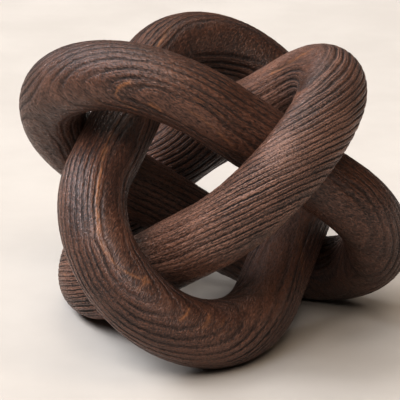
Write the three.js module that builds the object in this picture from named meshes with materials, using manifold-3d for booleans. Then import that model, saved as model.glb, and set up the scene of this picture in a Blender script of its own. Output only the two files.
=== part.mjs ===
// Three loose oval links of round wooden rod, threaded through each other so that no two
// are hooked together and yet the three cannot be parted. The set stands on one end of each
// link; the other three ends point up. Millimetres, +Z up, the floor is z = 0, the origin is
// under the middle of the set, and the front of the set faces -Y.
import * as THREE from 'three';
import Module from 'manifold-3d';

const wasm = await Module();
wasm.setup();

// ---- driving dimensions -------------------------------------------------------------
const ROD_R = 14;            // radius of the round section of every link
const HALF_LENGTH = 76.18;   // centreline, middle of the link to the tip of its end
const HALF_WIDTH = 43.76;    // centreline, middle of the link to the middle of a strand
const END_DEPTH = 44.98;     // how much of the half length is the rounded end
const STRAIGHT = HALF_LENGTH - END_DEPTH;   // half length of the straight strands
const FOOT_FLAT = 0.5;       // depth sanded off where a link stands on the floor

const SEAM_AT = -14;         // glue seam of the opened link, along its length from the middle
const GLUE_GAP = 0.3;        // space left between glued faces
const DOWEL_R = 4;           // beech dowels across the seam
const DOWEL_LENGTH = 40;
const DOWEL_CHAMFER = 0.9;

const SWELL = 3.8;           // extra thickness of the right link where its back strand turns into the standing end
const SWELL_FROM = 10;       // along the back strand, where the thickening starts
const SWELL_SIDE = 65 * Math.PI / 180;   // round the rod from the outer side: where it is thickest

const AROUND = 28;           // facets around the rod
const END_STEPS = 24;        // facets along a rounded end
const STRAIGHT_STEPS = 4;    // facets along a straight strand

// where each link lies: its middle, the way its raised end points, and one way across it
const LINKS = {
  left: { middle: [0.0, -3.747, 65.555], long: [-0.7815, -0.2163, 0.5851], across: [0.5433, -0.6969, 0.4681] },
  rear: { middle: [-3.677, 1.644, 60.691], long: [0.2979, 0.8564, 0.4217], across: [-0.7743, -0.0416, 0.6315] },
  right: { middle: [-3.421, -3.232, 62.097], long: [0.5744, -0.6258, 0.5277], across: [0.4094, 0.7778, 0.4769] },
};

// ---- frames and centreline ----------------------------------------------------------
function linkMatrix(pose) {
  const u = new THREE.Vector3(...pose.long).normalize();
  const s = new THREE.Vector3(...pose.across);
  s.addScaledVector(u, -s.dot(u)).normalize();
  const w = new THREE.Vector3().crossVectors(u, s);
  const m = new THREE.Matrix4().makeBasis(u, s, w);
  m.setPosition(pose.middle[0], pose.middle[1], pose.middle[2] - FOOT_FLAT);
  return m;
}

// one station: a point of the centreline in the link's plane and the outward normal there
function endStation(side, t) {
  const c = Math.cos(t), s = Math.sin(t);
  const nx = HALF_WIDTH * c, ny = END_DEPTH * s, n = Math.hypot(nx, ny);
  return { x: side * (STRAIGHT + END_DEPTH * c), y: side * HALF_WIDTH * s, nx: side * nx / n, ny: side * ny / n };
}
function endStations(side) {
  const out = [];
  for (let i = 0; i <= END_STEPS; i++) out.push(endStation(side, -Math.PI / 2 + Math.PI * i / END_STEPS));
  return out;
}
function strand(x0, x1, side, steps) {   // inner stations of a straight strand, ends left out
  const out = [];
  for (let i = 1; i < steps; i++) out.push({ x: x0 + (x1 - x0) * i / steps, y: side * HALF_WIDTH, nx: 0, ny: side });
  return out;
}

// the right link's rod is thicker on one side along its back strand, tapering off round the standing end
function smoothstep(x) { const t = Math.min(1, Math.max(0, x)); return t * t * (3 - 2 * t); }
function swellAt(st) {
  if (st.x < -STRAIGHT) {
    const t = Math.atan2(-st.y / HALF_WIDTH, (-st.x - STRAIGHT) / END_DEPTH);
    return SWELL * (1 - smoothstep((t + Math.PI / 2) / Math.PI));
  }
  return st.y > 0 ? SWELL * smoothstep((SWELL_FROM - st.x) / (SWELL_FROM + STRAIGHT)) : 0;
}

// ---- bodies -------------------------------------------------------------------------
function ringPoints(st) {
  const pts = [];
  for (let j = 0; j < AROUND; j++) {
    const a = 2 * Math.PI * j / AROUND, side = (1 + Math.cos(a - SWELL_SIDE)) / 2;
    const r = ROD_R + (st.swell ?? 0) * side * side, c = r * Math.cos(a), s = r * Math.sin(a);
    pts.push(st.x + c * st.nx, st.y + c * st.ny, s);
  }
  return pts;
}
// round rod swept along the stations; closed on itself, or with a flat face at each end
function rod(stations, closed) {
  const pos = [], tri = [], n = stations.length;
  for (const st of stations) pos.push(...ringPoints(st));
  const spans = closed ? n : n - 1;
  for (let i = 0; i < spans; i++) {
    const a = i * AROUND, b = ((i + 1) % n) * AROUND;
    for (let j = 0; j < AROUND; j++) {
      const k = (j + 1) % AROUND;
      tri.push(a + j, b + j, b + k, a + j, b + k, a + k);
    }
  }
  if (!closed) {
    for (const [i, flip] of [[0, false], [n - 1, true]]) {
      const st = stations[i], mid = pos.length / 3;
      pos.push(st.x, st.y, 0);
      for (let j = 0; j < AROUND; j++) {
        const p = i * AROUND + j, q = i * AROUND + (j + 1) % AROUND;
        if (flip) tri.push(mid, q, p); else tri.push(mid, p, q);
      }
    }
  }
  return { pos, tri };
}

function solid({ pos, tri }, matrix) {
  const v = new THREE.Vector3(), out = new Float32Array(pos.length);
  for (let i = 0; i < pos.length; i += 3) {
    v.set(pos[i], pos[i + 1], pos[i + 2]).applyMatrix4(matrix);
    out.set([v.x, v.y, v.z], i);
  }
  return new wasm.Manifold(new wasm.Mesh({ numProp: 3, vertProperties: out, triVerts: new Uint32Array(tri) }));
}

// a three.js geometry with its equal corners joined
function joined(geometry) {
  const p = geometry.getAttribute('position'), pos = [], seen = new Map(), id = [];
  for (let i = 0; i < p.count; i++) {
    const key = [p.getX(i), p.getY(i), p.getZ(i)].map((c) => Math.round(c * 1e4)).join(',');
    if (!seen.has(key)) { seen.set(key, pos.length / 3); pos.push(p.getX(i), p.getY(i), p.getZ(i)); }
    id.push(seen.get(key));
  }
  const index = geometry.index ? Array.from(geometry.index.array) : id.map((_, i) => i);
  const tri = [];
  for (let i = 0; i < index.length; i += 3) {
    const [a, b, c] = [id[index[i]], id[index[i + 1]], id[index[i + 2]]];
    if (a !== b && b !== c && c !== a) tri.push(a, b, c);
  }
  return { pos, tri };
}

// turned pin along the link's length, centred on the seam
function pin(radius, length, chamfer) {
  const h = length / 2, pts = [[0, -h], [radius - chamfer, -h], [radius, -h + chamfer], [radius, h - chamfer], [radius - chamfer, h], [0, h]];
  const flat = chamfer > 0 ? pts : [[0, -h], [radius, -h], [radius, h], [0, h]];
  const g = new THREE.LatheGeometry(flat.map(([r, y]) => new THREE.Vector2(r, y)), 24);
  g.rotateZ(-Math.PI / 2);
  return g;
}
function pinSolid(radius, length, chamfer, side, matrix) {
  const g = pin(radius, length, chamfer);
  g.translate(SEAM_AT, side * HALF_WIDTH, 0);
  return solid(joined(g), matrix);
}

// everything below the floor, to sand the standing ends flat
const floor = (() => {
  const g = new THREE.BoxGeometry(400, 400, 50);
  g.translate(0, 0, -25);
  return solid(joined(g), new THREE.Matrix4());
})();

function wholeLink(pose) {
  const stations = [
    ...endStations(1), ...strand(STRAIGHT, -STRAIGHT, 1, STRAIGHT_STEPS),
    ...endStations(-1), ...strand(-STRAIGHT, STRAIGHT, -1, STRAIGHT_STEPS),
  ];
  return solid(rod(stations, true), linkMatrix(pose)).subtract(floor);
}

// one part of the opened link: side 1 carries the raised end, side -1 the standing end
function partLink(pose, side) {
  const m = linkMatrix(pose), x0 = SEAM_AT + side * GLUE_GAP / 2;
  const cut = (s) => ({ x: x0, y: s * HALF_WIDTH, nx: 0, ny: s });
  const stations = [
    cut(-side), ...strand(x0, side * STRAIGHT, -side, STRAIGHT_STEPS),
    ...endStations(side),
    ...strand(side * STRAIGHT, x0, side, STRAIGHT_STEPS), cut(side),
  ].map((st) => ({ ...st, swell: swellAt(st) }));
  let body = solid(rod(stations, false), m).subtract(floor);
  for (const s of [1, -1]) body = body.subtract(pinSolid(DOWEL_R + GLUE_GAP, DOWEL_LENGTH + 2 * GLUE_GAP, 0, s, m));
  return body;
}

// ---- the set ------------------------------------------------------------------------
function mesh(name, body, colour, roughness) {
  const m = body.getMesh(), g = new THREE.BufferGeometry();
  const pos = new Float32Array(m.vertProperties.length / m.numProp * 3);
  for (let i = 0; i < pos.length / 3; i++) for (let k = 0; k < 3; k++) pos[i * 3 + k] = m.vertProperties[i * m.numProp + k];
  g.setAttribute('position', new THREE.BufferAttribute(pos, 3));
  g.setIndex(new THREE.BufferAttribute(new Uint32Array(m.triVerts), 1));
  g.computeVertexNormals();
  const out = new THREE.Mesh(g, new THREE.MeshStandardMaterial({ color: colour, roughness, metalness: 0 }));
  out.name = name;
  return out;
}

const set = new THREE.Group();
set.name = 'linked_ovals';
const rightFrame = linkMatrix(LINKS.right);
set.add(mesh('left_link', wholeLink(LINKS.left), 0x54433b, 0.72));
set.add(mesh('rear_link', wholeLink(LINKS.rear), 0x4d3c34, 0.72));
set.add(mesh('right_link_raised_part', partLink(LINKS.right, 1), 0x5a4941, 0.7));
set.add(mesh('right_link_standing_part', partLink(LINKS.right, -1), 0x553f33, 0.72));
set.add(mesh('right_link_upper_dowel', pinSolid(DOWEL_R, DOWEL_LENGTH, DOWEL_CHAMFER, 1, rightFrame), 0xc4a172, 0.65));
set.add(mesh('right_link_lower_dowel', pinSolid(DOWEL_R, DOWEL_LENGTH, DOWEL_CHAMFER, -1, rightFrame), 0xc4a172, 0.65));

export default set;
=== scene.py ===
import math

import bpy
import numpy as np
from mathutils import Matrix, Vector


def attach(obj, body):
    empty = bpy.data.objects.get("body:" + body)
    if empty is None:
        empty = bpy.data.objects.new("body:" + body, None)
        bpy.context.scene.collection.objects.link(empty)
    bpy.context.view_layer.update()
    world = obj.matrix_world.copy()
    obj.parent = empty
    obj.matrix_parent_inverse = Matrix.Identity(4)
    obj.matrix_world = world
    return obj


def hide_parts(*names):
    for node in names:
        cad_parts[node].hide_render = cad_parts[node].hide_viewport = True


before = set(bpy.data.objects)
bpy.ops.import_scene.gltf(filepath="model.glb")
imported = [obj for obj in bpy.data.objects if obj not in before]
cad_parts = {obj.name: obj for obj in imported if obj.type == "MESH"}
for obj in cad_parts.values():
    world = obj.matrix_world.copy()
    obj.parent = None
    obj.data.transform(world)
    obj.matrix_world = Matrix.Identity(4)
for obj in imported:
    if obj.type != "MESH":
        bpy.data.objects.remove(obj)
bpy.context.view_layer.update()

SCENE = bpy.context.scene
SCENE.view_settings.view_transform = "Standard"
SCENE.view_settings.look = "None"
SCENE.view_settings.gamma = 0.80

# ---------------------------------------------------------------- sizes, in mm, as in the CAD part
ROD_R = 14.0
HALF_LENGTH = 76.18
HALF_WIDTH = 43.76
END_DEPTH = 44.98
STRAIGHT = HALF_LENGTH - END_DEPTH
FOOT_FLAT = 0.5
SEAM_AT = -14.0
SEAM_HALF_GAP = 0.05
DOWEL_R = 4.0
DOWEL_LENGTH = 40.0
DOWEL_CHAMFER = 0.9
DOWEL_HOLE_R = 4.3
DOWEL_HOLE_DEPTH = 20.3
SWELL = 3.8
SWELL_FROM = 10.0
SWELL_SIDE = math.radians(65.0)

# middle, long direction, direction across
POSE = {
    "left": ((0.0, -3.747, 65.555), (-0.7815, -0.2163, 0.5851), (0.5433, -0.6969, 0.4681)),
    "rear": ((-3.677, 1.644, 60.691), (0.2979, 0.8564, 0.4217), (-0.7743, -0.0416, 0.6315)),
    "right": ((-3.421, -3.232, 62.097), (0.5744, -0.6258, 0.5277), (0.4094, 0.7778, 0.4769)),
}


def link_frame(key):
    """Middle (mm) and axes (columns: long, across, normal) of a link."""
    m, u, s = [np.array(v, float) for v in POSE[key]]
    u /= np.linalg.norm(u)
    s -= u * (s @ u)
    s /= np.linalg.norm(s)
    return m - np.array([0.0, 0.0, FOOT_FLAT]), np.stack([u, s, np.cross(u, s)], 1)


# ---------------------------------------------------------------- the oval centre line
def oval_table():
    t = np.linspace(-math.pi / 2, math.pi / 2, 1601)
    q = np.r_[np.c_[STRAIGHT + END_DEPTH * np.cos(t), HALF_WIDTH * np.sin(t)],
              np.c_[-STRAIGHT - END_DEPTH * np.cos(t), -HALF_WIDTH * np.sin(t)]]
    q = np.r_[q, q[:1]]
    d = np.r_[0, np.cumsum(np.linalg.norm(np.diff(q, axis=0), axis=1))]
    return q, d


OVAL, OVAL_S = oval_table()
OVAL_TOTAL = float(OVAL_S[-1])


def oval_at(s):
    """Point and outward direction in the link's plane, at arc length s (mm)."""
    s = np.mod(s, OVAL_TOTAL)
    c = np.c_[np.interp(s, OVAL_S, OVAL[:, 0]), np.interp(s, OVAL_S, OVAL[:, 1])]
    dx = np.clip(np.abs(c[:, 0]) - STRAIGHT, 0, None) * np.sign(c[:, 0])
    n = np.c_[dx / END_DEPTH ** 2, c[:, 1] / HALF_WIDTH ** 2]
    return c, n / np.linalg.norm(n, axis=1)[:, None]


# ---------------------------------------------------------------- seeded smooth noise in numpy
def waves(p, size, seed, count=40):
    """Smooth noise of unit spread; size is its usual wavelength (mm), one number or one per axis."""
    rng = np.random.RandomState(seed)
    k = rng.normal(size=(count, 3))
    k /= np.linalg.norm(k, axis=1)[:, None]
    k *= rng.uniform(0.6, 1.5, size=(count, 1)) * 2 * math.pi / np.asarray(size, float)
    return np.cos(p @ k.T + rng.uniform(0, 2 * math.pi, count)).sum(1) * math.sqrt(2.0 / count)


def smooth(a, b, x):
    t = np.clip((x - a) / (b - a), 0, 1)
    return t * t * (3 - 2 * t)


# ---------------------------------------------------------------- growth layers of each link
# tilt, turn and two offsets of the tree's middle line, then the waviness of the layers round the link (mm)
TREE = {
    "left": ((0.2163, 2.8696, 43.0469, -109.3333),
             (-0.6, -1.9, 1.9, -3, -0.6, -1.6, -4.3, -4.4, -0.3, -1.4, -1.2, -2, -1.3, -1.8, -1, -1, 0, -0.7, -0.4, -0.3,
              -1.4, -1.7, 0.5, -0.1, 0.4, 0.3, -1.1, -1.6, 0.2, 0, 1.6, 0.1, 0.9, 0.5, -0.6, -0.6, -0.1, 0, 0.2, -0.7,
              -2, -1.5, 0.7, 0.7, 0.1, -0.9, -0.5, -0.2, -0.3, -0.2, 2.3, 2.6, 3.7, 2.4, 0.2, 0, 0.1, -0.2, -0.1, -1.3,
              -1, -2, -1.2, -6.4, -4.3, -5.9, -3.8, -3.6, -3.1, -5, -4.8, -3.4, -2.1, -4, -3.8, -1.8, -0.3, -1.4, -1, -0.6)),
    "rear": ((3.253, 1.607, -128.2626, -25.2474),
             (0.6, 0.1, 0.2, -1.3, 0.9, 2.4, 1, 0, 0.8, -0.9, -1.2, 2.5, 0.8, 1.4, 3.1, -1, 0, 1.6, 1.6, 1.7,
              0, 0.2, 0.7, -0.1, 2.5, 2.2, 1.6, 3.2, 0.4, 1.6, 3.6, 2.8, 6, 7, 4.9, 4, 4.2, 1.5, 1.6, 1,
              -0.4, 0.2, 0.9, 0.4, -1.3, -3.4, -1.3, 1.9, 0.4, 1.7, 1.3, -0.7, 0.3, 0.3, -0.7, -0.3, -0.1, -1, 0.1, -0.3,
              0.1, 0.1, 0.4, 0, -0.3, -0.8, 0.3, 1, 0.7, 0.4, -0.1, 0.5, -0.1, -0.3, 0.8, 0.3, 0.4, 0.5, 0.7, 0.5)),
    "right": ((3.2492, 3.0612, 38.3919, -95.0184),
             (-2.2, -0.4, 1.8, 2.3, 2.1, 0.2, -1.2, 0.9, 0.3, 1.2, 0.5, -0.9, 0.3, 0.3, 0.4, 1.9, -0.1, -1.9, 0.5, -1,
              -0.2, -0.8, -0.5, -0.3, 0.9, 1.7, 1.3, 2.2, 2, 2.3, 1, -0.9, 0.4, 0.9, 0.5, 0.5, -0.2, -0.6, -1.2, -1.8,
              -0.9, -1.9, -1.6, -1.4, 0.2, 1.7, 0.8, -0.7, 0.2, 0.6, -1.4, -0.8, 1.7, 1.9, 1.2, 0.4, -0.9, -1.2, -1.1, -1.4,
              -1.8, -1.3, 2.8, 0.8, -0.8, 0.5, -0.4, -1, -0.8, 0.3, -1.2, -1.1, 0.9, 0.7, 0.6, 0.7, -1.6, -2.4, -0.3, -1)),
}
WAVE_SPREAD = 18.0
WAVE_OUT = 12.0


def tree_axis(v):
    ct, st, cp, sp = math.cos(v[0]), math.sin(v[0]), math.cos(v[1]), math.sin(v[1])
    d = np.array([ct, st * cp, st * sp])
    e1 = np.array([-st, ct * cp, ct * sp])
    e2 = np.array([0.0, -sp, cp])
    return d, e1, e2, v[2] * e1 + v[3] * e2


def growth(key, p):
    """Distance from the tree's middle line (mm) with the waviness, and fibre coordinates (along, round, out)."""
    v, a = TREE[key]
    d, e1, e2, p0 = tree_axis(v)
    q = p - p0
    along = q @ d
    r = q - along[:, None] * d
    dist = np.linalg.norm(r, axis=1)
    f = dist.copy()
    c, n = oval_at(np.arange(20) * OVAL_TOTAL / 20)
    for k in range(80):
        side = math.radians(90.0 * (k // 20))
        x, y = c[k % 20] + n[k % 20] * WAVE_OUT * math.cos(side)
        z = WAVE_OUT * math.sin(side)
        far = (p[:, 0] - x) ** 2 + (p[:, 1] - y) ** 2 + (p[:, 2] - z) ** 2
        f += a[k] * np.exp(-far / (2 * WAVE_SPREAD ** 2))
    angle = np.arctan2(r @ e2, r @ e1)
    mid = math.atan2(-(p0 @ e2), -(p0 @ e1))
    turn = np.angle(np.exp(1j * (angle - mid)))
    return f, np.c_[along, turn * dist.mean(), f]


# growth distances (mm) of the dark lines between the rings, and the usual ring width before and after them
RING_LINES = {
    "left": (2.3, (116.3, 118.7, 121.2, 123.5, 125.9, 128.0, 130.4, 131.9, 132.8, 133.6), 1.6),
    "rear": (1.3, (120.8, 122.0, 123.1, 124.4, 125.8, 128.0, 130.1, 132.5, 134.6, 137.5, 139.4, 141.2, 143.2), 2.1),
    "right": (2.3, (83.1, 85.1, 87.6, 89.9, 92.6, 95.3, 97.7, 100.2, 102.6, 104.9, 107.0, 109.1, 111.5, 113.4, 115.5,
                    117.9, 120.3, 122.3, 124.1, 126.3, 128.1, 129.6, 131.0), 2.0),
}
LINE_AT = 0.86


def rings(key, f, seed):
    """Ring count at growth distance f: rings of uneven width."""
    rng = np.random.RandomState(seed)
    before, lines, after = RING_LINES[key]
    lines = list(lines)
    while lines[0] > 40.0:
        lines.insert(0, lines[0] - before * rng.uniform(0.78, 1.22))
    while lines[-1] < 230.0:
        lines.append(lines[-1] + after * rng.uniform(0.78, 1.22))
    return np.interp(f, lines, np.arange(len(lines)) + LINE_AT)


# streaks rubbed through the stain: half width (mm), strength, points (arc length in mm, degrees round the rod)
RUBBED = {
    "left": (
        (0.56, 0.9, ((106.7, -37), (103.5, -49), (102.3, -62), (103.8, -74), (107.0, -84), (110.1, -88))),
        (0.56, 1.0, ((115.0, -65), (117.1, -67), (118.8, -70))),
        (0.56, 0.5, ((93.7, -79), (94.8, -85), (96.9, -86))),
        (0.56, 0.5, ((87.6, -73), (89.1, -77), (90.8, -79))),
        (0.43, 0.5, ((127.4, -49), (134.4, -54), (142.7, -60), (149.1, -65))),
        (0.37, 0.4, ((127.7, -28), (135.0, -30), (142.5, -31))),
        (0.56, 0.7, ((301.0, 95), (306.0, 101), (312.0, 104))),
        (0.50, 0.6, ((330.0, 40), (340.0, 46), (352.0, 47))),
    ),
    "rear": (
        (0.68, 1.0, ((184.5, 64), (192.0, 64), (203.5, 67), (213.1, 70), (223.7, 66), (231.5, 61), (237.6, 55))),
        (0.56, 0.7, ((237.6, 55), (243.6, 52), (250.9, 59), (256.8, 72), (262.0, 86))),
        (0.62, 0.8, ((123.7, 62), (129.8, 66), (137.0, 68))),
        (0.68, 0.7, ((259.4, 89), (260.9, 73), (261.1, 61))),
        (0.68, 0.9, ((281.3, 91), (280.5, 78), (279.0, 65))),
        (0.56, 0.5, ((291.2, 94), (289.7, 78), (288.3, 68))),
        (0.50, 0.4, ((298.1, 90), (296.1, 78))),
        (0.99, 0.3, ((364.9, 95), (353.1, 67), (341.9, 41))),
        (0.62, 0.7, ((60.0, -70), (72.0, -66), (84.0, -69))),
        (0.56, 0.6, ((330.0, -100), (342.0, -104), (350.0, -103))),
    ),
    "right": (
        (0.74, 0.9, ((108.7, 62), (109.3, 83), (117.1, 102), (127.7, 112), (136.4, 112))),
        (0.50, 0.5, ((207.0, 120), (200.0, 124), (192.0, 126))),
        (0.56, 0.6, ((20.0, -95), (32.0, -99), (44.0, -96))),
        (0.56, 0.6, ((300.0, 60), (309.0, 66), (316.0, 67))),
    ),
}


def rubbed(key, s, theta, wobble):
    """How far the stain is rubbed away at each grid point."""
    ss, tt = np.meshgrid(np.mod(s, OVAL_TOTAL), np.degrees(theta), indexing="ij")
    ss, tt = ss.ravel(), tt.ravel()
    out = np.zeros(len(ss))
    for half, strength, points in RUBBED[key]:
        best = np.full(len(ss), 1e9)
        for (s0, a0), (s1, a1) in zip(points[:-1], points[1:]):
            mid = (a0 + a1) / 2
            y = ((tt - mid + 180.0) % 360.0 - 180.0) * math.pi / 180.0 * ROD_R
            y0, y1 = (a0 - mid) * math.pi / 180.0 * ROD_R, (a1 - mid) * math.pi / 180.0 * ROD_R
            dx, dy = s1 - s0, y1 - y0
            t = np.clip(((ss - s0) * dx + (y - y0) * dy) / (dx * dx + dy * dy), 0, 1)
            best = np.minimum(best, np.hypot(ss - s0 - t * dx, y - y0 - t * dy))
        out = np.maximum(out, strength * np.exp(-(best / (0.82 * half * (1 + 0.35 * wobble))) ** 2))
    return out


def swell_at(s):
    """Extra thickness (mm) along the right link, towards its standing end."""
    c, _ = oval_at(s)
    x, y = c[:, 0], c[:, 1]
    t = np.arctan2(-y / HALF_WIDTH, (-x - STRAIGHT) / END_DEPTH)
    strand = np.where(y > 0, smooth(0.0, 1.0, (SWELL_FROM - x) / (SWELL_FROM + STRAIGHT)), 0.0)
    return SWELL * np.where(x < -STRAIGHT, 1 - smooth(0.0, 1.0, (t + math.pi / 2) / math.pi), strand)


def groove(phase):
    """0 on the ridge, 1 in the brushed-out groove, over one ring."""
    return smooth(0.50, 0.84, phase) * (1 - smooth(0.93, 1.0, phase))


# ---------------------------------------------------------------- meshes
def make_mesh(name, verts, faces, uvs, attrs):
    me = bpy.data.meshes.new(name)
    me.from_pydata([tuple(v) for v in verts.tolist()], [], faces)
    layer = me.uv_layers.new(name="UVMap")
    layer.data.foreach_set("uv", np.asarray(uvs, np.float32).ravel())
    for an, (kind, values) in attrs.items():
        a = me.attributes.new(an, kind, "POINT")
        a.data.foreach_set("vector" if kind == "FLOAT_VECTOR" else "value",
                           np.asarray(values, np.float32).ravel())
    me.polygons.foreach_set("use_smooth", np.ones(len(me.polygons), bool))
    me.update()
    me.validate()
    return me


def place(name, me, key, body, nodes, material):
    mid, axes = link_frame(key)
    m = Matrix.Identity(4)
    for r in range(3):
        for c in range(3):
            m[r][c] = axes[r, c]
        m[r][3] = mid[r] * 0.001
    me.transform(m)
    me.update()
    o = bpy.data.objects.new(name, me)
    SCENE.collection.objects.link(o)
    me.materials.append(material)
    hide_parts(*nodes)
    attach(o, body)
    return o


GROOVE = {"left": 0.80, "rear": 0.86, "right": 1.0}


def rod_points(key, s, theta, seed):
    """Surface of a link over a grid of arc lengths and angles round the rod, with its wood attributes."""
    c, n = oval_at(s)
    ct, st = np.cos(theta), np.sin(theta)
    nrm = np.stack([n[:, None, 0] * ct, n[:, None, 1] * ct, np.broadcast_to(st, (len(s), len(theta)))], -1)
    flat = np.concatenate([np.broadcast_to(c[:, None, :], nrm.shape[:2] + (2,)), np.zeros(nrm.shape[:2] + (1,))], -1)
    radius = np.full(nrm.shape[:2] + (1,), ROD_R)
    if key == "right":
        radius += (swell_at(s)[:, None] * (0.5 + 0.5 * np.cos(theta - SWELL_SIDE)) ** 2)[..., None]
    p = (flat + radius * nrm).reshape(-1, 3)
    nrm = nrm.reshape(-1, 3)
    f, fibre = growth(key, p)
    f = f + 0.10 * waves(p, (30.0, 11.0, 11.0), seed + 1) + 0.03 * waves(p, (9.0, 3.0, 3.0), seed + 2)
    ring = rings(key, f, seed + 3)
    strength = np.clip(GROOVE[key] * (1 + 0.26 * waves(p, 32.0, seed + 4)), 0.25, 1.0)
    # where the surface runs along a layer, the brush leaves no groove
    grid = ring.reshape(len(s), len(theta))
    rows = p.reshape(len(s), len(theta), 3)
    step = np.maximum(np.linalg.norm(np.gradient(rows, axis=0), axis=-1), 1e-3)
    across = np.maximum(np.linalg.norm(np.roll(rows, -1, 1) - np.roll(rows, 1, 1), axis=-1) / 2, 1e-3)
    steep = np.hypot(np.gradient(grid, axis=0) / step, (np.roll(grid, -1, 1) - np.roll(grid, 1, 1)) / 2 / across)
    strength = strength * (0.22 + 0.78 * smooth(0.05, 0.34, steep)).ravel()
    if key == "right":   # the low part of the front strand is brushed less
        strength *= 1 - 0.52 * smooth(60.0, 20.0, p[:, 0]) * smooth(-48.0, -22.0, p[:, 0]) * smooth(8.0, -8.0, p[:, 1])
    rub = rubbed(key, s, theta, np.clip(waves(p, 7.0, seed + 7), -1.5, 1.5))
    carve = 0.34 * groove(np.mod(ring, 1.0)) * strength
    carve += 0.13 + 0.11 * np.clip(waves(p, 46.0, seed + 5), -1.2, 2.0) * 0.5
    carve += 0.035 * waves(p, 2.4, seed + 6, 64)
    q = p - np.clip(carve, 0.0, None)[:, None] * nrm
    return q, ring, fibre, strength, rub


def flatten_foot(key, p):
    """The sanded foot: nothing of the link goes below the table."""
    mid, axes = link_frame(key)
    w = p @ axes.T + mid
    w[:, 2] = np.maximum(w[:, 2], 0.0)
    return (w - mid) @ axes


def island(q, fu, fv):
    """Place in a two by two sheet of islands."""
    return np.stack([(q % 2) * 0.5 + 0.01 + 0.48 * fu, (q // 2) * 0.5 + 0.01 + 0.48 * fv], -1)


def grid_faces(rows, cols, closed):
    """Quads of a rows x cols grid, closed round the rod and, if closed, along the link; with their UVs."""
    last = rows if closed else rows - 1
    i, j = np.meshgrid(np.arange(last), np.arange(cols), indexing="ij")
    i, j = i.ravel(), j.ravel()
    i2, j2 = (i + 1) % rows, (j + 1) % cols
    faces = np.stack([i * cols + j, i2 * cols + j, i2 * cols + j2, i * cols + j2], -1)
    per = last / 4.0
    q = np.minimum((i / per).astype(int), 3)
    fu0, fu1 = i / per - q, (i + 1) / per - q
    fu1 = np.minimum(fu1, 1.0)
    fv0, fv1 = j / cols, (j + 1) / cols
    uv = np.stack([island(q, fu0, fv0), island(q, fu1, fv0), island(q, fu1, fv1), island(q, fu0, fv1)], 1)
    return faces.tolist(), uv.reshape(-1, 2)


def attributes(ring, fibre, strength, rub):
    return {"ring": ("FLOAT", ring), "fibre": ("FLOAT_VECTOR", fibre), "depth": ("FLOAT", strength),
            "rub": ("FLOAT", rub)}


def closed_link(name, key, seed, rows=760, cols=128):
    s = np.arange(rows) * OVAL_TOTAL / rows
    theta = np.arange(cols) * 2 * math.pi / cols + math.pi
    p, ring, fibre, strength, rub = rod_points(key, s, theta, seed)
    p = flatten_foot(key, p)
    faces, uv = grid_faces(rows, cols, True)
    return make_mesh(name, p * 0.001, faces, uv, attributes(ring, fibre, strength, rub))


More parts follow.
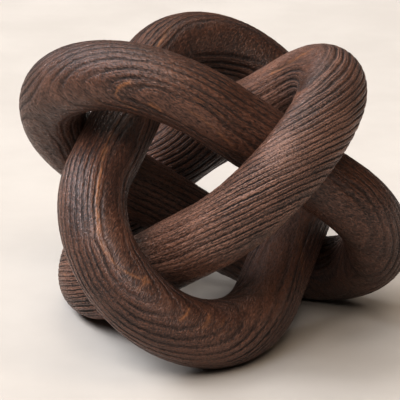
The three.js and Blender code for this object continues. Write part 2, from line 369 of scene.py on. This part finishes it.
def cut_link(name, key, seed, side, rows, cols=160):
    """One part of the opened link: the stretch beyond the seam, two sawn faces, a dowel hole in each."""
    x_cut = SEAM_AT + side * SEAM_HALF_GAP
    # arc lengths of the two cuts on the straight strands
    half = OVAL_TOTAL / 2
    arc = half - 2 * STRAIGHT
    s_top = arc + (STRAIGHT - x_cut)
    s_low = OVAL_TOTAL - (STRAIGHT - x_cut)
    s = np.linspace(s_low - OVAL_TOTAL, s_top, rows) if side > 0 else np.linspace(s_top, s_low, rows)
    theta = np.arange(cols) * 2 * math.pi / cols + math.pi
    p, ring, fibre, strength, rub = rod_points(key, s, theta, seed)
    p = p.reshape(rows, cols, 3)
    p[0, :, 0] = x_cut
    p[-1, :, 0] = x_cut
    p = flatten_foot(key, p.reshape(-1, 3))
    faces, uv = grid_faces(rows, cols, False)
    uv = list(uv.reshape(-1, 4, 2) * 0.9)
    verts = [p]
    count = len(p)
    extra_ring, extra_fibre, extra_depth = [], [], []
    for end, row in ((0, 0), (1, rows - 1)):
        centre, _ = oval_at(s[row:row + 1])
        cx, cy = x_cut, centre[0, 1]
        rim = np.arange(cols) + row * cols
        _, n = oval_at(s[row:row + 1])
        direction = np.stack([np.zeros(cols), n[0, 1] * np.cos(theta), np.sin(theta)], -1)
        loops = []
        for radius, depth in ((9.5, 0.0), (DOWEL_HOLE_R + 0.5, 0.0), (DOWEL_HOLE_R, 0.5),
                              (DOWEL_HOLE_R, DOWEL_HOLE_DEPTH), (1.6, DOWEL_HOLE_DEPTH + 1.2)):
            loop = np.array([cx + side * depth, cy, 0.0]) + radius * direction
            verts.append(loop)
            f, fb = growth(key, loop)
            extra_ring.append(rings(key, f, seed + 3))
            extra_fibre.append(fb)
            extra_depth.append(np.full(cols, 0.4))
            loops.append(np.arange(cols) + count)
            count += cols
        tip = np.array([[cx + side * (DOWEL_HOLE_DEPTH + 1.6), cy, 0.0]])
        verts.append(tip)
        f, fb = growth(key, tip)
        extra_ring.append(rings(key, f, seed + 3))
        extra_fibre.append(fb)
        extra_depth.append(np.full(1, 0.4))
        chain = [rim] + loops
        for k, (a, b) in enumerate(zip(chain[:-1], chain[1:])):
            for j in range(cols):
                j2 = (j + 1) % cols
                quad = [a[j], a[j2], b[j2], b[j]] if end == 0 else [a[j], b[j], b[j2], a[j2]]
                faces.append([int(x) for x in quad])
                u0 = 0.91 + 0.04 * end + 0.006 * k
                v0, v1 = j / cols, (j + 1) / cols
                box = [(u0, v0), (u0, v1), (u0 + 0.005, v1), (u0 + 0.005, v0)]
                uv.append(np.array(box if end == 0 else [box[0], box[3], box[2], box[1]]))
        for j in range(cols):
            j2 = (j + 1) % cols
            a = chain[-1]
            tri = [a[j], a[j2], count] if end == 0 else [a[j], count, a[j2]]
            faces.append([int(x) for x in tri])
            u0 = 0.91 + 0.04 * end + 0.032
            v0, v1 = j / cols, (j + 1) / cols
            box = [(u0, v0), (u0, v1), (u0 + 0.005, (v0 + v1) / 2)]
            uv.append(np.array(box if end == 0 else [box[0], box[2], box[1]]))
        count += 1
    ring = np.r_[ring, np.concatenate(extra_ring)]
    fibre = np.r_[fibre, np.concatenate(extra_fibre)]
    strength = np.r_[strength, np.concatenate(extra_depth)]
    rub = np.r_[rub, np.zeros(len(strength) - len(rub))]
    attrs = attributes(ring, fibre, strength, rub)
    # the standing part gets browner wood, and its darkening is partly painted shade
    attrs["stand_tint_and_painted_shade"] = ("FLOAT", np.full(len(ring), 1.0 if side < 0 else 0.0))
    return make_mesh(name, np.concatenate(verts) * 0.001, faces, np.concatenate(uv), attrs)


def dowel(name, side, rows=48, cols=96):
    """Fluted beech pin across the seam, chamfered at both ends."""
    x = np.linspace(-DOWEL_LENGTH / 2, DOWEL_LENGTH / 2, rows)
    theta = np.arange(cols) * 2 * math.pi / cols
    end = np.minimum(x + DOWEL_LENGTH / 2, DOWEL_LENGTH / 2 - x)
    radius = DOWEL_R - np.clip(DOWEL_CHAMFER - end, 0, None)
    flute = 0.16 * (0.5 - 0.5 * np.cos(16 * (theta[None, :] + 0.012 * x[:, None])))
    r = radius[:, None] - flute
    p = np.stack([np.broadcast_to(x[:, None], r.shape) + SEAM_AT,
                  side * HALF_WIDTH + r * np.cos(theta), r * np.sin(theta)], -1).reshape(-1, 3)
    faces, uv = grid_faces(rows, cols, False)
    faces = [f[::-1] for f in faces]
    uv = list(uv.reshape(-1, 4, 2)[:, ::-1] * 0.9)
    verts = [p]
    count = len(p)
    for end, row in ((0, 0), (1, rows - 1)):
        rim = np.arange(cols) + row * cols
        verts.append(np.array([[x[row] + SEAM_AT, side * HALF_WIDTH, 0.0]]))
        for j in range(cols):
            j2 = (j + 1) % cols
            tri = [rim[j], count, rim[j2]] if end == 0 else [rim[j], rim[j2], count]
            faces.append([int(v) for v in tri])
            a0, a1 = theta[j], theta[j] + 2 * math.pi / cols
            c0 = np.array([0.95, 0.2 + 0.3 * end])
            e0 = c0 + 0.045 * np.array([math.cos(a0), math.sin(a0)])
            e1 = c0 + 0.045 * np.array([math.cos(a1), math.sin(a1)])
            uv.append(np.array([e0, c0, e1] if end == 0 else [e0, e1, c0]))
        count += 1
    p = np.concatenate(verts)
    ring = p[:, 1] * 0.9 + 0.2 * waves(p, 20.0, 7)
    fibre = p.copy()
    return make_mesh(name, p * 0.001, faces, np.concatenate(uv),
                     attributes(ring, fibre, np.full(len(p), 0.3), np.zeros(len(p))))


# ---------------------------------------------------------------- materials
def node(nt, kind, **settings):
    n = nt.nodes.new(kind)
    for k, v in settings.items():
        setattr(n, k, v)
    return n


def math_node(nt, op, a, b=None, c=None, clamp=False):
    n = node(nt, "ShaderNodeMath", operation=op, use_clamp=clamp)
    for i, v in enumerate((a, b, c)):
        if v is None:
            continue
        if isinstance(v, (int, float)):
            n.inputs[i].default_value = v
        else:
            nt.links.new(v, n.inputs[i])
    return n.outputs[0]


def mix_color(nt, fac, a, b, blend="MIX"):
    n = node(nt, "ShaderNodeMix", data_type="RGBA", blend_type=blend)
    for sock, v in ((n.inputs[0], fac), (n.inputs[6], a), (n.inputs[7], b)):
        if isinstance(v, (int, float)):
            sock.default_value = v
        elif isinstance(v, tuple):
            sock.default_value = (*v, 1.0)
        else:
            nt.links.new(v, sock)
    return n.outputs[2]


def ramp(nt, fac, stops, ease="EASE"):
    n = node(nt, "ShaderNodeValToRGB")
    n.color_ramp.interpolation = ease
    el = n.color_ramp.elements
    while len(el) > 1:
        el.remove(el[0])
    for k, (pos, val) in enumerate(stops):
        e = el[0] if k == 0 else el.new(pos)
        e.position = pos
        e.color = (*((val,) * 3 if isinstance(val, (int, float)) else val), 1.0)
    nt.links.new(fac, n.inputs[0])
    return n.outputs[0]


def attribute(nt, name):
    return node(nt, "ShaderNodeAttribute", attribute_type="GEOMETRY", attribute_name=name)


def noise(nt, vec, scale, stretch=(1, 1, 1), detail=3.0, rough=0.55, offset=(0, 0, 0), distortion=0.0):
    m = node(nt, "ShaderNodeMapping")
    m.inputs["Scale"].default_value = stretch
    m.inputs["Location"].default_value = offset
    nt.links.new(vec, m.inputs["Vector"])
    n = node(nt, "ShaderNodeTexNoise")
    n.inputs["Scale"].default_value = scale
    n.inputs["Detail"].default_value = detail
    n.inputs["Roughness"].default_value = rough
    n.inputs["Distortion"].default_value = distortion
    nt.links.new(m.outputs[0], n.inputs["Vector"])
    return n.outputs[0]


def wood(name, pale, mid, deep, groove_color, worn, seed, thin_lines, line_dark, line_dull):
    """Dark stained, wire-brushed softwood: rings from the link's own growth layers."""
    mat = bpy.data.materials.new(name)
    mat.use_nodes = True
    nt = mat.node_tree
    nt.nodes.clear()
    out = node(nt, "ShaderNodeOutputMaterial")
    sh = node(nt, "ShaderNodeBsdfPrincipled")
    nt.links.new(sh.outputs[0], out.inputs[0])
    ring = attribute(nt, "ring").outputs["Fac"]
    fibre = attribute(nt, "fibre").outputs["Vector"]
    depth = attribute(nt, "depth").outputs["Fac"]
    place3 = (seed * 3.7, seed * 1.9, seed * 5.3)
    # the ring edge wanders a little with the fibres
    wander = noise(nt, fibre, 1.0, (0.14, 0.9, 0.9), 3.0, 0.6, place3)
    r = math_node(nt, "ADD", ring, math_node(nt, "MULTIPLY", math_node(nt, "SUBTRACT", wander, 0.5), 0.45))
    phase = math_node(nt, "FRACT", r)
    whole = math_node(nt, "FLOOR", r)
    wn = node(nt, "ShaderNodeTexWhiteNoise", noise_dimensions="1D")
    nt.links.new(math_node(nt, "ADD", whole, float(seed) * 0.37), wn.inputs["W"])
    each = wn.outputs["Value"]
    line = ramp(nt, phase, [(0.0, 0.0), (0.50, 0.0), (0.67, 0.30), (0.77, 1.0), (0.93, 1.0), (0.995, 0.0)])
    how = math_node(nt, "MULTIPLY_ADD", each, 0.25, 0.75)
    ridge = ramp(nt, phase, [(0.0, 0.35), (0.10, 1.0), (0.32, 0.6), (0.55, 0.0), (1.0, 0.0)], "LINEAR")
    line = math_node(nt, "MULTIPLY", line, how)
    # a fainter line within each ring, here and there
    half = math_node(nt, "FRACT", math_node(nt, "MULTIPLY_ADD", r, 2.0, 0.28))
    thin = ramp(nt, half, [(0.0, 0.0), (0.62, 0.0), (0.80, 1.0), (0.90, 1.0), (1.0, 0.0)])
    some = ramp(nt, noise(nt, fibre, 1.0, (0.03, 0.12, 0.5), 2.0, 0.5, place3), [(0.36, 0.25 * thin_lines), (0.56, thin_lines)], "LINEAR")
    line = math_node(nt, "MAXIMUM", line, math_node(nt, "MULTIPLY", thin, some))
    line = math_node(nt, "MULTIPLY", line, depth, clamp=True)
    # fibres, pores, stain patches and painted glints
    fine = noise(nt, fibre, 1.0, (0.30, 1.5, 1.5), 4.0, 0.72, place3)
    pore = noise(nt, fibre, 1.0, (0.62, 1.9, 1.9), 2.0, 0.75, place3)
    patch = noise(nt, fibre, 1.0, (0.02, 0.07, 0.07), 3.0, 0.5, place3)
    tone = math_node(nt, "ADD", math_node(nt, "MULTIPLY", fine, 0.50), math_node(nt, "MULTIPLY", patch, 0.55))
    tone = math_node(nt, "ADD", tone, math_node(nt, "MULTIPLY", math_node(nt, "SUBTRACT", each, 0.5), 0.18))
    color = ramp(nt, tone, [(0.37, deep), (0.53, mid), (0.71, pale)], "LINEAR")
    color = mix_color(nt, math_node(nt, "MULTIPLY", ridge, math_node(nt, "MULTIPLY", depth, 0.5)), color, pale)
    speck = ramp(nt, pore, [(0.36, 1.0), (0.50, 0.0)], "LINEAR")
    color = mix_color(nt, math_node(nt, "MULTIPLY", speck, 0.72), color, groove_color)
    # painted highlight: bright greyish specks on the pores stand in for glints of light; they are also made a little
    # smoother
    painted_glint = ramp(nt, pore, [(0.53, 0.0), (0.64, 1.0)], "LINEAR")
    color = mix_color(nt, math_node(nt, "MULTIPLY", painted_glint, 0.46), color, (1.8 * pale[0], 2.1 * pale[1], 2.4 * pale[2]))
    # the standing part of the opened link is of browner wood, and is also darkened as painted shade for its strand
    # that lies in shadow under the left link
    color = mix_color(nt, attribute(nt, "stand_tint_and_painted_shade").outputs["Fac"], color, (0.84, 0.68, 0.56), "MULTIPLY")
    rub = attribute(nt, "rub").outputs["Fac"]
    broken = ramp(nt, fine, [(0.36, 0.25), (0.56, 1.0)], "LINEAR")
    color = mix_color(nt, math_node(nt, "MULTIPLY", rub, broken, clamp=True), color, worn)
    color = mix_color(nt, math_node(nt, "MULTIPLY", line, line_dark), color, groove_color)
    nt.links.new(color, sh.inputs["Base Color"])
    rough = math_node(nt, "MULTIPLY_ADD", fine, 0.16, 0.20)
    rough = math_node(nt, "MULTIPLY_ADD", speck, 0.36, rough)
    rough = math_node(nt, "MULTIPLY_ADD", painted_glint, -0.08, rough)
    rough = math_node(nt, "MULTIPLY_ADD", line, line_dull, rough, clamp=True)
    nt.links.new(rough, sh.inputs["Roughness"])
    sh.inputs["Specular IOR Level"].default_value = 0.58
    height = math_node(nt, "MULTIPLY_ADD", line, -0.9, 1.0)
    height = math_node(nt, "MULTIPLY_ADD", fine, 0.30, height)
    height = math_node(nt, "MULTIPLY_ADD", pore, 0.62, height)
    b = node(nt, "ShaderNodeBump")
    b.inputs["Strength"].default_value = 0.9
    b.inputs["Distance"].default_value = 0.0006
    nt.links.new(height, b.inputs["Height"])
    nt.links.new(b.outputs[0], sh.inputs["Normal"])
    return mat


def beech(name):
    mat = bpy.data.materials.new(name)
    mat.use_nodes = True
    nt = mat.node_tree
    nt.nodes.clear()
    out = node(nt, "ShaderNodeOutputMaterial")
    sh = node(nt, "ShaderNodeBsdfPrincipled")
    nt.links.new(sh.outputs[0], out.inputs[0])
    fibre = attribute(nt, "fibre").outputs["Vector"]
    fleck = noise(nt, fibre, 1.0, (0.25, 2.2, 2.2), 3.0, 0.6)
    nt.links.new(ramp(nt, fleck, [(0.35, (0.42, 0.25, 0.11)), (0.65, (0.60, 0.40, 0.20))]), sh.inputs["Base Color"])
    nt.links.new(math_node(nt, "MULTIPLY_ADD", fleck, 0.2, 0.5), sh.inputs["Roughness"])
    b = node(nt, "ShaderNodeBump")
    b.inputs["Strength"].default_value = 0.3
    b.inputs["Distance"].default_value = 0.0002
    nt.links.new(fleck, b.inputs["Height"])
    nt.links.new(b.outputs[0], sh.inputs["Normal"])
    return mat


GROOVE_COLOR = (0.007, 0.0042, 0.0035)
WORN = (0.35, 0.152, 0.064)
LEFT_WOOD = wood("left_link_wood", (0.160, 0.074, 0.047), (0.088, 0.0365, 0.0212), (0.031, 0.0113, 0.0060),
                 GROOVE_COLOR, WORN, 1, 0.40, 0.96, 0.40)
REAR_WOOD = wood("rear_link_wood", (0.178, 0.085, 0.055), (0.102, 0.0425, 0.0248), (0.036, 0.0132, 0.0077),
                 GROOVE_COLOR, WORN, 2, 0.42, 0.96, 0.45)
RIGHT_WOOD = wood("right_link_wood", (0.278, 0.146, 0.100), (0.152, 0.0680, 0.0412), (0.052, 0.0205, 0.0110),
                  GROOVE_COLOR, WORN, 3, 0.85, 0.98, 0.55)
BEECH = beech("dowel_wood")

place("left_link_oval", closed_link("left_link_oval", "left", 11), "left", "left_link",
      ["left_link"], LEFT_WOOD)
place("rear_link_oval", closed_link("rear_link_oval", "rear", 23), "rear", "rear_link",
      ["rear_link"], REAR_WOOD)
place("right_link_raised_end", cut_link("right_link_raised_end", "right", 37, 1, 500), "right", "right_link",
      ["right_link_raised_part"], RIGHT_WOOD)
place("right_link_standing_end", cut_link("right_link_standing_end", "right", 37, -1, 380), "right", "right_link",
      ["right_link_standing_part"], RIGHT_WOOD)
place("right_link_pin_upper", dowel("right_link_pin_upper", 1), "right", "right_link",
      ["right_link_upper_dowel"], BEECH)
place("right_link_pin_lower", dowel("right_link_pin_lower", -1), "right", "right_link",
      ["right_link_lower_dowel"], BEECH)


# ---------------------------------------------------------------- floor, light, camera
def floor():
    me = bpy.data.meshes.new("floor")
    h = 6.0
    me.from_pydata([(-h, -h, 0), (h, -h, 0), (h, h, 0), (-h, h, 0)], [], [(0, 1, 2, 3)])
    o = bpy.data.objects.new("floor", me)
    SCENE.collection.objects.link(o)
    mat = bpy.data.materials.new("floor_plaster")
    mat.use_nodes = True
    nt = mat.node_tree
    sh = nt.nodes["Principled BSDF"]
    geo = node(nt, "ShaderNodeNewGeometry").outputs["Position"]
    n = noise(nt, geo, 14.0, (1, 1, 1), 5.0, 0.6)
    nt.links.new(ramp(nt, n, [(0.3, (0.521, 0.479, 0.436)), (0.7, (0.556, 0.513, 0.468))]), sh.inputs["Base Color"])
    sh.inputs["Roughness"].default_value = 0.9
    sh.inputs["Specular IOR Level"].default_value = 0.2
    me.materials.append(mat)


floor()


def area_light(name, turn, height, size, power, color):
    """Round soft light 8 m away: turn in degrees round the set from the front, height in degrees."""
    d = bpy.data.lights.new(name, "AREA")
    d.shape = "DISK"
    d.size = size
    d.energy = power
    d.color = color
    o = bpy.data.objects.new(name, d)
    a, e = math.radians(turn), math.radians(height)
    where = Vector((math.sin(a) * math.cos(e), -math.cos(a) * math.cos(e), math.sin(e))) * 8.0
    o.location = where
    o.rotation_euler = (-where).to_track_quat("-Z", "Y").to_euler()
    SCENE.collection.objects.link(o)


COOL, WARM = (0.94, 0.99, 1.06), (1.03, 0.93, 0.82)
area_light("left_back", -122.0, 38.0, 3.4, 330.0, COOL)
area_light("left", -90.0, 48.0, 3.2, 285.0, COOL)
area_light("left_front", -60.0, 55.0, 3.4, 205.0, COOL)
area_light("front_left", -30.0, 48.0, 3.4, 290.0, COOL)
area_light("front", 3.0, 45.0, 3.6, 235.0, WARM)
area_light("top", 0.0, 86.0, 5.0, 120.0, WARM)
area_light("back", 180.0, 50.0, 3.4, 112.0, (1.02, 0.96, 0.90))
area_light("right", 65.0, 50.0, 3.4, 46.0, (1.14, 0.90, 0.66))

world = bpy.data.worlds.new("studio")
SCENE.world = world
world.use_nodes = True
bg = world.node_tree.nodes["Background"]
bg.inputs["Color"].default_value = (1.0, 0.90, 0.80, 1.0)
bg.inputs["Strength"].default_value = 0.03

cam_data = bpy.data.cameras.new("camera")
cam_data.sensor_fit = "HORIZONTAL"
cam_data.sensor_width = 36.0
cam_data.lens = 2312.264 * 36.0 / 400.0
cam_data.clip_start = 0.01
cam_data.clip_end = 50.0
cam = bpy.data.objects.new("camera", cam_data)
cam.location = (-0.00654, -0.91339, 0.35491)
cam.rotation_euler = (math.radians(90.0 - 18.26766), 0.0, 0.0)
SCENE.collection.objects.link(cam)
SCENE.camera = cam

bpy.context.view_layer.update()
